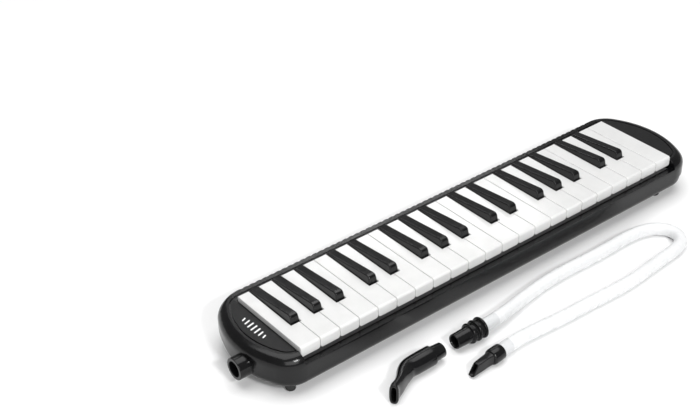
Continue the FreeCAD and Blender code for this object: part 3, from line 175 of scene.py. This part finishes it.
class Shader:
    """A material around one Principled shader, with the nodes that the materials share."""

    def __init__(self, name):
        self.material = bpy.data.materials.new(name)
        self.material.use_nodes = True
        self.tree = self.material.node_tree
        self.surface = self.tree.nodes["Principled BSDF"]
        self.place = self.tree.nodes.new("ShaderNodeTexCoord").outputs["Object"]

    def node(self, kind, **settings):
        made = self.tree.nodes.new(kind)
        for key, value in settings.items():
            setattr(made, key, value)
        return made

    def link(self, source, target):
        self.tree.links.new(source, target)

    def set(self, **sockets):
        for key, value in sockets.items():
            self.surface.inputs[key.replace("_", " ")].default_value = value

    def base_colour(self, source):
        self.link(source, self.surface.inputs["Base Color"])

    def roughness(self, source):
        self.link(source, self.surface.inputs["Roughness"])

    def axis(self, letter):
        made = self.node("ShaderNodeSeparateXYZ")
        self.link(self.place, made.inputs["Vector"])
        return made.outputs[letter]

    def noise(self, scale, detail, roughness=0.55, stretch=(1, 1, 1)):
        mapping = self.node("ShaderNodeMapping")
        mapping.inputs["Scale"].default_value = stretch
        self.link(self.place, mapping.inputs["Vector"])
        made = self.node("ShaderNodeTexNoise")
        made.inputs["Scale"].default_value = scale
        made.inputs["Detail"].default_value = detail
        made.inputs["Roughness"].default_value = roughness
        self.link(mapping.outputs["Vector"], made.inputs["Vector"])
        return made.outputs["Fac"]

    def remap(self, source, to, over=NOISE_SPREAD):
        """Value that runs from to[0] to to[1] while the source crosses the span in over."""
        made = self.node("ShaderNodeMapRange")
        for key, value in (("From Min", over[0]), ("From Max", over[1]),
                           ("To Min", to[0]), ("To Max", to[1])):
            made.inputs[key].default_value = value
        self.link(source, made.inputs["Value"])
        return made.outputs["Result"]

    def mottle(self, source, dark, light, over=NOISE_SPREAD):
        """Colour that runs from dark to light while the source crosses the span in over."""
        made = self.node("ShaderNodeValToRGB")
        for element, position, colour in zip(made.color_ramp.elements, over, (dark, light)):
            element.position = position
            element.color = (*colour, 1)
        self.link(source, made.inputs["Fac"])
        return made.outputs["Color"]

    def math(self, operation, first, second):
        made = self.node("ShaderNodeMath", operation=operation)
        for socket, value in zip(made.inputs, (first, second)):
            if isinstance(value, (int, float)):
                socket.default_value = value
            else:
                self.link(value, socket)
        return made.outputs["Value"]

    def tint(self, factor, base, colour):
        """The base colour, replaced by a constant one as far as the factor says."""
        made = self.node("ShaderNodeMix", data_type="RGBA")
        self.link(factor, made.inputs["Factor"])
        self.link(base, made.inputs[6])
        made.inputs[7].default_value = (*colour, 1)
        return made.outputs[2]

    def bump(self, height, distance, strength):
        made = self.node("ShaderNodeBump")
        made.inputs["Strength"].default_value = strength
        made.inputs["Distance"].default_value = distance
        self.link(height, made.inputs["Height"])
        self.link(made.outputs["Normal"], self.surface.inputs["Normal"])

    def edge(self, radius):
        """1 on edges and 0 on flat faces, from how much a bevelled normal leaves the true one."""
        bevel = self.node("ShaderNodeBevel", samples=4)
        bevel.inputs["Radius"].default_value = radius
        geometry = self.node("ShaderNodeNewGeometry")
        dot = self.node("ShaderNodeVectorMath", operation="DOT_PRODUCT")
        self.link(bevel.outputs["Normal"], dot.inputs[0])
        self.link(geometry.outputs["Normal"], dot.inputs[1])
        return self.remap(dot.outputs["Value"], to=(1.0, 0.0), over=(0.80, 0.995))

    def rubbed(self, radius, scale, to):
        """Edges rubbed in patches: the edge factor times a patchy noise."""
        return self.math("MULTIPLY", self.edge(radius), self.remap(self.noise(scale, detail=4), to))


# ------------------------------------------------------------------ materials
def moulded_plastic(name, dark, light, gloss, grain=0.00004, grain_scale=2600,
                    worn=None, coat=0.0, specular=0.5):
    """Plastic or rubber: faint mottling, uneven gloss, moulded grain and, with worn, rubbed edges."""
    s = Shader(name)
    colour = s.mottle(s.noise(scale=55, detail=5), dark, light, over=(0.30, 0.72))
    if worn is not None:
        colour = s.tint(s.rubbed(radius=0.0006, scale=420, to=(0.15, 0.9)), colour, worn)
    s.base_colour(colour)
    broad = s.remap(s.noise(scale=38, detail=4), to=gloss)
    fine = s.remap(s.noise(scale=900, detail=2), to=(-0.02, 0.03))
    s.roughness(s.math("ADD", broad, fine))
    s.bump(s.noise(grain_scale, detail=2), distance=grain, strength=0.5)
    s.set(IOR=1.49, Specular_IOR_Level=specular, Coat_Weight=coat, Coat_Roughness=0.12)
    return s.material


def case_material():
    """Satin black shell; the end panels inside their grooves are duller."""
    s = Shader("case_black_abs")
    outward = s.math("ABSOLUTE", s.axis("X"), 0.0)
    past_start = s.remap(outward, to=(0, 1), over=(PANEL_START - PANEL_FADE, PANEL_START))
    on_deck = s.remap(s.axis("Z"), to=(0, 1), over=(DECK_Z - DECK_FADE[0], DECK_Z - DECK_FADE[1]))
    on_panel = s.math("MULTIPLY", past_start, on_deck)
    mottled = s.mottle(s.noise(scale=48, detail=5), (0.0030, 0.0030, 0.0033),
                       (0.0060, 0.0060, 0.0063), over=(0.3, 0.75))
    scuff = s.rubbed(radius=0.0008, scale=350, to=(0.05, 0.6))
    s.base_colour(s.tint(scuff, mottled, (0.022, 0.022, 0.023)))
    shell = s.remap(s.noise(scale=30, detail=4), to=(0.14, 0.22))
    panel = s.remap(s.noise(scale=700, detail=2), to=(0.36, 0.46))
    blend = s.node("ShaderNodeMix", data_type="FLOAT")
    s.link(on_panel, blend.inputs["Factor"])
    s.link(shell, blend.inputs[2])
    s.link(panel, blend.inputs[3])
    s.roughness(blend.outputs[0])
    s.bump(s.noise(scale=2400, detail=2), distance=0.00004, strength=0.45)
    s.set(IOR=1.52, Specular_IOR_Level=0.28)
    return s.material


def key_white():
    """Gloss white key: faint mottling, and patchy darkening low on its front and sides."""
    s = Shader("key_gloss_white")
    colour = s.mottle(s.noise(scale=60, detail=4), (0.63, 0.63, 0.625), (0.67, 0.67, 0.665))
    # Darker in patches towards the bottom of the key, fading out between the two heights.
    low_darkening = s.math("MULTIPLY", s.remap(s.axis("Z"), to=(1, 0), over=KEY_LOW_DARKENING),
                   s.remap(s.noise(scale=260, detail=4), to=(0.1, 0.7)))
    s.base_colour(s.tint(low_darkening, colour, (0.54, 0.54, 0.53)))
    s.roughness(s.remap(s.noise(scale=90, detail=4), to=(0.17, 0.27)))
    s.bump(s.noise(scale=1500, detail=2), distance=0.00002, strength=0.35)
    s.set(IOR=1.49, Subsurface_Weight=0.12, Subsurface_Scale=0.0015,
          Subsurface_Radius=(1.0, 0.95, 0.9), Coat_Weight=0.25, Coat_Roughness=0.08)
    return s.material


def key_black():
    """Black key: satin grain, faint mottling and rubbed edges."""
    s = Shader("key_satin_black")
    colour = s.mottle(s.noise(scale=90, detail=4), (0.0020, 0.0020, 0.0022),
                      (0.0045, 0.0045, 0.0048))
    rub = s.rubbed(radius=0.0006, scale=500, to=(0.2, 0.9))
    s.base_colour(s.tint(rub, colour, (0.035, 0.035, 0.036)))
    s.roughness(s.remap(s.noise(scale=120, detail=4), to=(0.12, 0.21)))
    s.bump(s.noise(scale=2200, detail=2), distance=0.00003, strength=0.4)
    s.set(IOR=1.5, Specular_IOR_Level=0.35, Coat_Weight=0.15, Coat_Roughness=0.06)
    return s.material


def hose_vinyl():
    """Milky translucent tube, greyer where the end pieces' nipples show through it."""
    s = Shader("hose_milky_vinyl")
    along, across = s.axis("X"), s.axis("Y")

    def beside(source, limit, to):
        return s.remap(source, to=to, over=(limit - NIPPLE_FADE, limit + NIPPLE_FADE))

    plug_zone = s.math("MULTIPLY", beside(along, PLUG_NIPPLE_X, to=(1, 0)),
                       beside(across, RUNS_APART_Y, to=(0, 1)))
    flat_zone = s.math("MULTIPLY", beside(along, FLAT_NIPPLE_X, to=(1, 0)),
                       beside(across, RUNS_APART_Y, to=(1, 0)))
    zone = s.math("MULTIPLY", s.math("ADD", plug_zone, flat_zone), NIPPLE_SHADE)
    cloudy = s.mottle(s.noise(scale=45, detail=4), (0.69, 0.695, 0.70), (0.73, 0.735, 0.74))
    s.base_colour(s.tint(zone, cloudy, (0.42, 0.43, 0.44)))
    s.roughness(s.remap(s.noise(scale=160, detail=4), to=(0.22, 0.36)))
    s.bump(s.noise(scale=90, detail=2), distance=0.00003, strength=0.2)
    s.set(IOR=1.42, Subsurface_Weight=0.3, Subsurface_Scale=0.002,
          Subsurface_Radius=(1.0, 1.0, 1.0))
    return s.material


def metal(name, dark, light, gloss, stretch):
    """Bare metal, streaked along the axis where stretch is below 1."""
    s = Shader(name)
    s.base_colour(s.mottle(s.noise(scale=500, detail=4, stretch=stretch), dark, light))
    s.roughness(s.remap(s.noise(scale=900, detail=3, stretch=stretch), to=gloss))
    s.bump(s.noise(scale=1800, detail=2, stretch=stretch), distance=0.00002, strength=0.4)
    s.set(Metallic=1.0)
    return s.material


def felt_material():
    s = Shader("stop_felt_black")
    fibres = s.noise(scale=2600, detail=5, roughness=0.7, stretch=(1, 1, 0.35))
    s.base_colour(s.mottle(fibres, (0.010, 0.010, 0.011), (0.035, 0.035, 0.037), over=(0.25, 0.75)))
    s.roughness(s.remap(fibres, to=(0.85, 0.98)))
    s.bump(fibres, distance=0.0003, strength=0.8)
    s.set(Sheen_Weight=0.5)
    return s.material


def floor_material():
    s = Shader("studio_floor")
    s.base_colour(s.mottle(s.noise(scale=1.5, detail=2), (0.86, 0.86, 0.86), (0.885, 0.885, 0.885)))
    s.set(Roughness=0.62)
    return s.material


def ink_material():
    s = Shader("motif_white_ink")
    s.base_colour(s.mottle(s.noise(scale=400, detail=4), (0.78, 0.78, 0.78), (0.90, 0.90, 0.90)))
    s.roughness(s.remap(s.noise(scale=700, detail=3), to=(0.35, 0.5)))
    s.bump(s.noise(scale=1500, detail=2), distance=0.00003, strength=0.4)
    return s.material


def make_materials():
    """One material for each material slot of the CAD part."""
    return {
        "case_plastic": case_material(),
        "fitting_plastic": moulded_plastic(
            "fitting_gloss_black", (0.0040, 0.0040, 0.0044), (0.008, 0.008, 0.0083),
            gloss=(0.10, 0.17), worn=(0.016, 0.016, 0.017), coat=0.04, specular=0.26),
        "white_key_plastic": key_white(),
        "black_key_plastic": key_black(),
        "foot_rubber": moulded_plastic(
            "foot_black_rubber", (0.010, 0.010, 0.010), (0.022, 0.022, 0.022),
            gloss=(0.55, 0.72), grain=0.00012, grain_scale=1400),
        "seal_rubber": moulded_plastic(
            "seal_grey_rubber", (0.020, 0.020, 0.020), (0.035, 0.035, 0.036),
            gloss=(0.6, 0.8), grain=0.00012, grain_scale=1600),
        "chamber_plastic": moulded_plastic(
            "chamber_grey_abs", (0.05, 0.05, 0.055), (0.08, 0.08, 0.085),
            gloss=(0.42, 0.58), grain=0.00008, grain_scale=1200),
        "plate_aluminium": metal("plate_mill_aluminium", (0.62, 0.63, 0.64), (0.78, 0.78, 0.79),
                                 gloss=(0.28, 0.42), stretch=(0.08, 1, 1)),
        "reed_brass": metal("reed_spring_brass", (0.62, 0.44, 0.18), (0.80, 0.62, 0.30),
                            gloss=(0.20, 0.34), stretch=(1, 0.1, 1)),
        "screw_steel": metal("plated_steel", (0.42, 0.42, 0.43), (0.60, 0.60, 0.61),
                             gloss=(0.24, 0.36), stretch=(0.2, 1, 1)),
        "felt": felt_material(),
        "hose_plastic": hose_vinyl(),
    }


# ------------------------------------------------------------------ mesh helpers
def add_mesh(name, bm, material, smooth_angle=SMOOTH_ANGLE):
    bmesh.ops.recalc_face_normals(bm, faces=bm.faces)
    mesh = bpy.data.meshes.new(name)
    bm.to_mesh(mesh)
    bm.free()
    mesh.materials.append(material)
    mesh.shade_smooth()
    mesh.set_sharp_from_angle(angle=math.radians(smooth_angle))
    piece = bpy.data.objects.new(name, mesh)
    bpy.context.scene.collection.objects.link(piece)
    return piece


def bridge(bm, rings, closed=False):
    """Quads between following rings of vertices; closed joins the last ring to the first."""
    count = len(rings[0])
    pairs = list(zip(rings, rings[1:]))
    if closed:
        pairs.append((rings[-1], rings[0]))
    for a, b in pairs:
        for i in range(count):
            j = (i + 1) % count
            bm.faces.new((a[i], a[j], b[j], b[i]))


def lathe(name, outline, place, material):
    """Ring-shaped piece around its own X axis; outline is a closed list of (x, radius) in mm."""
    bm = bmesh.new()
    rings = []
    for x, radius in outline:
        rings.append([bm.verts.new((x * MM, radius * MM * math.cos(a), radius * MM * math.sin(a)))
                      for a in (2 * math.pi * k / LATHE_SEGMENTS for k in range(LATHE_SEGMENTS))])
    bridge(bm, rings, closed=True)
    piece = add_mesh(name, bm, material)
    piece.matrix_world = Matrix.Translation(Vector(place) * MM)
    return piece


def superellipse(half_width, half_height, power):
    """Points of a ring: an ellipse at power 2, and closer to a rectangle at higher powers."""
    points = []
    for k in range(DUCT_POINTS):
        a = 2 * math.pi * k / DUCT_POINTS
        c, s = math.cos(a), math.sin(a)
        points.append((math.copysign(abs(c) ** (2 / power), c) * half_width,
                       math.copysign(abs(s) ** (2 / power), s) * half_height))
    return points


def duct(name, outside, inside, material):
    """Hollow piece: rings along the outside from end to end, then back along the inside.

    A ring is (middle, heading, lean, half width, half height, power), in mm and degrees: it faces
    along its heading about Z, and its top leans that way.
    """
    bm = bmesh.new()
    rings = []
    for middle, heading, lean, half_width, half_height, power in outside + inside[::-1]:
        sideways = Vector((-math.sin(math.radians(heading)), math.cos(math.radians(heading)), 0))
        along = Vector((math.cos(math.radians(heading)), math.sin(math.radians(heading)), 0))
        up = Vector((0, 0, 1)) * math.cos(math.radians(lean)) + along * math.sin(math.radians(lean))
        rings.append([bm.verts.new((Vector(middle) + sideways * u + up * v) * MM)
                      for u, v in superellipse(half_width, half_height, power)])
    bridge(bm, rings, closed=True)
    return add_mesh(name, bm, material, DUCT_SMOOTH_ANGLE)


def smoothed(rings):
    """Catmull-Rom rings between the listed ones, so that a bend has no kinks."""
    flat = [[*middle, *rest] for middle, *rest in rings]
    result = []
    for i in range(len(flat) - 1):
        before, here = flat[max(i - 1, 0)], flat[i]
        there, after = flat[i + 1], flat[min(i + 2, len(flat) - 1)]
        for k in range(BEND_STEPS):
            t = k / BEND_STEPS
            result.append([0.5 * (2 * q + (r - p) * t + (2 * p - 5 * q + 4 * r - s) * t * t
                                  + (3 * q - p - 3 * r + s) * t ** 3)
                           for p, q, r, s in zip(before, here, there, after)])
    result.append(flat[-1])
    return [(values[:3], *values[3:]) for values in result]


# ------------------------------------------------------------------ hose and its ends
def make_hose(material):
    curve = bpy.data.curves.new("hose", "CURVE")
    curve.dimensions = "3D"
    spline = curve.splines.new("NURBS")
    spline.points.add(len(HOSE_ROUTE) - 1)
    for point, place in zip(spline.points, HOSE_ROUTE):
        point.co = (*place, 1)
    spline.order_u = 3
    spline.use_endpoint_u = True
    spline.resolution_u = 16
    curve.bevel_depth = HOSE_DIAMETER / 2
    curve.bevel_resolution = 12
    curve.use_fill_caps = True
    curve.materials.append(material)
    hose = bpy.data.objects.new("hose", curve)
    bpy.context.scene.collection.objects.link(hose)
    return hose


def rib(start, radius):
    """One rounded rib of the plug, as outline points from its low to its high side."""
    half = RIB_WIDTH / 2
    end = start + RIB_WIDTH
    points = [(start - RIB_FOOT, RIB_CORE), (start - RIB_LIP, RIB_CORE + RIB_FOOT)]
    for k in range(RIB_ARC_STEPS + 1):
        a = math.pi * (1 - k / RIB_ARC_STEPS)
        points.append((start + half + half * math.cos(a), radius - half + half * math.sin(a)))
    return points + [(end + RIB_LIP, RIB_CORE + RIB_FOOT), (end + RIB_FOOT, RIB_CORE)]


def make_connector(material):
    """Hollow plug with a rolled tip, a taper and three ribs, lying on its largest rib."""
    low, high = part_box("hose_connector")
    axis_height = (high.z - low.z) / 2 / MM
    tip_and_taper = [(0.9, 4.9), (0.25, 5.3), (0.0, 5.75), (0.3, 6.25), (1.0, 6.42), (14.9, 6.85)]
    hose_end = [(29.6, 6.0), (29.6, 2.6)]
    bore = [(22.0, 2.6), (21.0, 4.4), (1.6, 4.75)]
    ribs = [point for start, radius in RIBS for point in rib(start, radius)]
    place = (low.x / MM, HOSE_ROUTE[0][1] / MM, axis_height)
    return lathe("hose_plug", tip_and_taper + ribs + hose_end + bore, place, material)


def make_flat_mouthpiece(material):
    """Collar on the hose's end, then a flat duct on its edge with a slanted mouth."""
    end = Vector(HOSE_ROUTE[-1]) / MM
    turn = math.radians(FLAT_END_TURN)
    along = Vector((math.cos(turn), math.sin(turn), 0))

    def ring(distance, lean, half_width, half_height, power):
        return (end - along * distance, FLAT_END_TURN, lean, half_width, half_height, power)

    def collar(distance, radius):
        return ring(distance, 0, radius, radius, 2)

    outside = [collar(0.0, 5.8), collar(0.0, 6.2), collar(0.5, 6.65), collar(1.3, 6.75),
               collar(10.4, 6.75), collar(11.5, 6.4),
               ring(12.0, 0, 5.6, 5.9, 2.2), ring(12.1, 0, 3.9, 5.0, 5), ring(13.0, 2, 3.5, 4.8, 8),
               ring(20.0, 12, 3.1, 5.1, 9), ring(31.3, 36, 2.8, 5.8, 9),
               ring(32.1, 37, 2.7, 5.7, 8), ring(32.3, 37, 2.4, 5.4, 8)]
    inside = [collar(0.0, 3.2), collar(11.0, 3.1), ring(14.0, 4, 2.2, 3.8, 5),
              ring(22.0, 18, 1.8, 4.2, 8), ring(32.2, 37, 1.6, 4.7, 8)]
    return duct("flat_mouthpiece", outside, inside, material)


def make_short_mouthpiece(material):
    """Tapered stub, barrel, and a bend that narrows to flat lips standing on edge."""
    def straight(x, radius):
        return ((x, *SHORT_AXIS_MM), 180, 0, radius, radius, 2)

    stub = [straight(-105.0, 5.4), straight(-105.0, 6.0), straight(-105.5, 6.35),
            straight(-115.2, 6.8), straight(-115.9, 6.85)]
    shoulder = [straight(-116.0, 7.9), straight(-116.5, 8.35), straight(-117.2, 8.4)]
    bend = [straight(-126.0, 8.4),
            ((-134.0, -86.1, 8.4), 183, 0, 8.3, 8.4, 2.0),
            ((-141.0, -86.7, 8.5), 192, 0, 7.5, 8.4, 2.0),
            ((-146.6, -89.4, 8.6), 207, 0, 6.7, 8.3, 2.1),
            ((-152.4, -93.2, 8.8), 216, 0, 5.3, 8.2, 2.3),
            ((-160.0, -98.2, 9.2), 217, 0, 4.0, 8.6, 2.7),
            ((-166.5, -101.2, 9.5), 217, 0, 3.8, 9.1, 3.0),
            ((-169.2, -103.2, 9.6), 217, 0, 3.9, 9.4, 3.0)]
    lips = [((-169.9, -103.7, 9.6), 217, 0, 3.6, 9.1, 3.0),
            ((-170.1, -103.9, 9.6), 217, 0, 2.9, 8.4, 3.0)]
    hollow = [straight(-105.0, 4.75),
              ((-134.0, -86.1, 8.4), 183, 0, 4.9, 4.9, 2.0),
              ((-146.6, -89.4, 8.6), 207, 0, 4.2, 6.0, 2.1),
              ((-160.0, -98.2, 9.2), 217, 0, 2.3, 6.8, 2.7),
              ((-169.9, -103.7, 9.6), 217, 0, 2.1, 7.4, 3.0)]
    return duct("short_mouthpiece_body", stub + shoulder + smoothed(bend) + lips,
                smoothed(hollow), material)


# ------------------------------------------------------------------ motif on the end panel
def make_motif():
    """A plain row of leaning bars on the end panel beside the low keys, longest in the middle."""
    bm = bmesh.new()
    for k in range(BAR_COUNT):
        middle = Vector((MOTIF_X, FIRST_BAR_Y + BAR_PITCH * k, DECK_Z))
        wave = math.pi * (k + BAR_TAPER) / (BAR_COUNT - 1 + 2 * BAR_TAPER)
        half_x = BAR_HALF_LENGTH * math.sin(wave)
        corners = [(-half_x, BAR_LOW), (half_x, BAR_LOW + BAR_LEAN),
                   (half_x, BAR_LOW + BAR_LEAN + BAR_WIDTH), (-half_x, BAR_LOW + BAR_WIDTH)]
        low = [bm.verts.new(middle + Vector((x, y, -INK_SUNK))) for x, y in corners]
        high = [bm.verts.new(middle + Vector((x, y, INK_RAISED))) for x, y in corners]
        bm.faces.new(high)
        bm.faces.new(low[::-1])
        bridge(bm, [low, high])
    return add_mesh("panel_motif", bm, ink_material())


# ------------------------------------------------------------------ putting it together
def dress_cad_nodes(materials):
    for row in frame["record"]["subparts"]:
        node = frame["nodes"][row["node"]]
        node.data.materials.clear()
        node.data.materials.append(materials[row["material_slot"]])


make_camera()
make_studio()
materials = make_materials()
dress_cad_nodes(materials)
floor = make_floor()

hose = make_hose(materials["hose_plastic"])
plug = make_connector(materials["fitting_plastic"])
flat_mouthpiece = make_flat_mouthpiece(materials["fitting_plastic"])
short_mouthpiece = make_short_mouthpiece(materials["fitting_plastic"])
motif = make_motif()

for piece, body, node, slot in (
        (hose, "hose", "hose_tube", "hose_plastic"),
        (plug, "hose", "hose_connector", "fitting_plastic"),
        (flat_mouthpiece, "hose", "hose_mouthpiece", "fitting_plastic"),
        (short_mouthpiece, "loose_mouthpiece", "short_mouthpiece", "fitting_plastic")):
    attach(piece, body)
    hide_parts(node)
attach(motif, "case")
